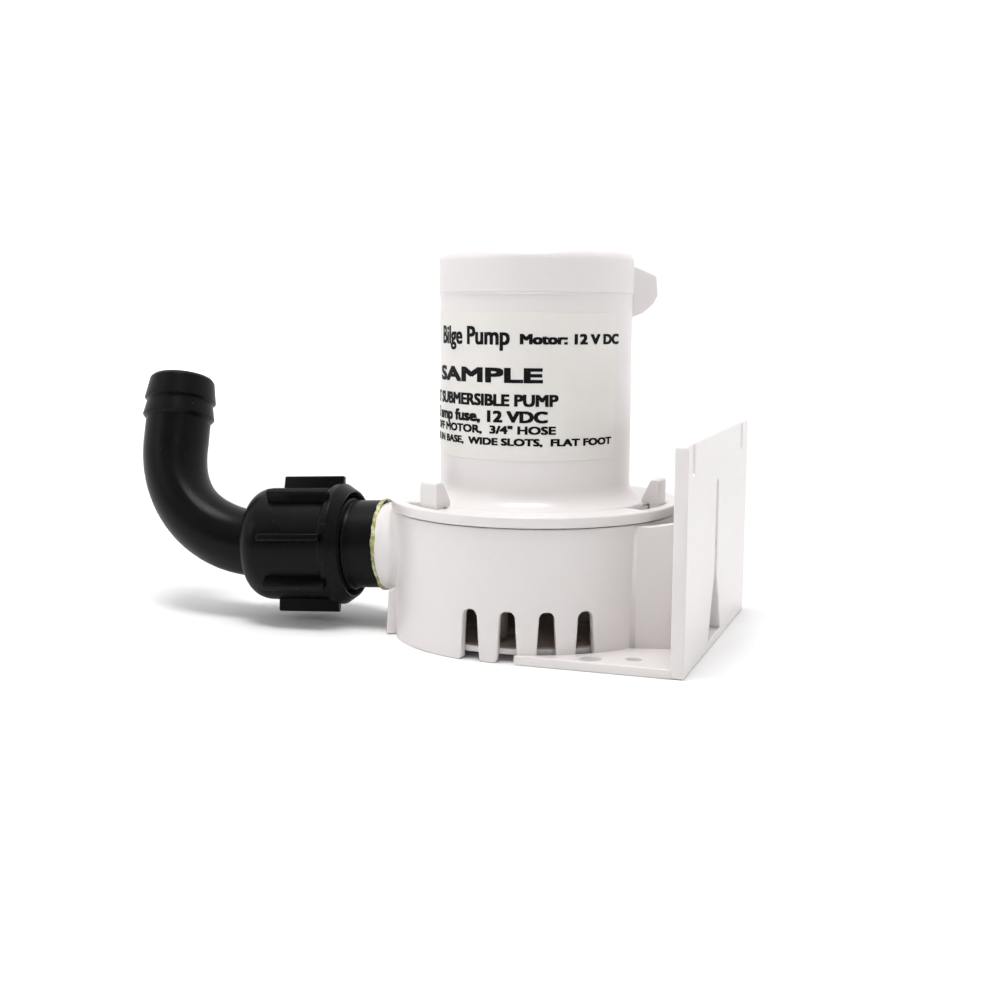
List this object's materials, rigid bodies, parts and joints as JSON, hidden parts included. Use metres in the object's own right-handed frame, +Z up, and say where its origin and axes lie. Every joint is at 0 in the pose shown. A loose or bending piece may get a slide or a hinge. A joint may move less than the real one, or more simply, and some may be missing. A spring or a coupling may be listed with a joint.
{
  "type": "bilge pump",
  "caption": "Cartridge bilge pump with a slotted base, side bracket, twist-off motor head and a hose elbow on a union nut.",
  "frame": {"origin": "centre of the pad under the strainer floor, on the pump axis and in the plane the pump stands on", "axes": "+Z up the pump and motor axis, +X from the pump axis towards the wall bracket, so the discharge leaves towards -X"},
  "size_m": [0.176, 0.0891, 0.1047],
  "materials": {
    "white_housing": "moulded ABS, warm white, semi-gloss",
    "white_head": "moulded ABS, warm white, semi-gloss",
    "black_fitting": "moulded nylon, black, satin-gloss",
    "black_impeller": "moulded acetal, black",
    "glue": "squeezed-out solvent cement, yellow-green",
    "seal_rubber": "nitrile rubber, black",
    "label_film": "printed vinyl film",
    "zinc_steel": "zinc-plated pressed steel",
    "core_steel": "stacked steel laminations",
    "bright_steel": "ground stainless steel",
    "ferrite": "sintered ferrite, dark grey",
    "phenolic": "pressed phenolic board, brown",
    "sintered_bronze": "oil-filled sintered bronze",
    "carbon": "carbon graphite",
    "enamelled_copper": "enamelled copper wire, tightly wound",
    "copper": "turned copper bars"
  },
  "bodies": {
    "base": {"base_housing": "white_housing", "strainer_floor": "white_housing", "outlet_tailpiece": "black_fitting", "glue_bead": "glue"},
    "head": {"motor_shell": "white_head", "motor_cap": "white_head", "rating_label": "label_film", "lead_grommet": "seal_rubber", "head_o_ring": "seal_rubber", "shaft_seal": "seal_rubber", "motor_can": "zinc_steel", "can_end": "zinc_steel", "magnet_front": "ferrite", "magnet_rear": "ferrite", "end_bell": "phenolic", "brush_card": "phenolic", "lower_bearing": "sintered_bronze", "upper_bearing": "sintered_bronze", "brush_left": "carbon", "brush_right": "carbon", "brush_spring_left": "bright_steel", "brush_spring_right": "bright_steel"},
    "rotor": {"motor_shaft": "bright_steel", "armature_core": "core_steel", "armature_winding": "enamelled_copper", "commutator": "copper", "impeller": "black_impeller"},
    "seal": {"union_seal": "seal_rubber"},
    "nut": {"union_nut": "black_fitting"},
    "elbow": {"elbow_barb": "black_fitting"}
  },
  "joints": [
    {"name": "head_twist", "type": "hinge", "parent": "base", "child": "head", "pos_m": [0, 0, 0.035], "axis": [0, 0, 1], "range_deg": [0, 13]},
    {"name": "rotor_spin", "type": "hinge", "parent": "head", "child": "rotor", "pos_m": [0, 0, 0.05], "axis": [0, 0, 1], "continuous": true},
    {"name": "union_draw", "type": "slide", "parent": "base", "child": "seal", "axis": [-0.9955, -0.0843, -0.0433], "range_m": [0, 0.006]},
    {"name": "nut_turn", "type": "hinge", "parent": "seal", "child": "nut", "pos_m": [-0.0285, -0.0038, 0.02347], "axis": [-0.9955, -0.0843, -0.0433], "range_deg": [0, 1080]},
    {"name": "elbow_swivel", "type": "hinge", "parent": "seal", "child": "elbow", "pos_m": [-0.0285, -0.0038, 0.02347], "axis": [-0.9955, -0.0843, -0.0433], "continuous": true}
  ],
  "couplings": [
    {"joint": "union_draw", "follows": "nut_turn", "m_per_rad": 0.00031831}
  ]
}
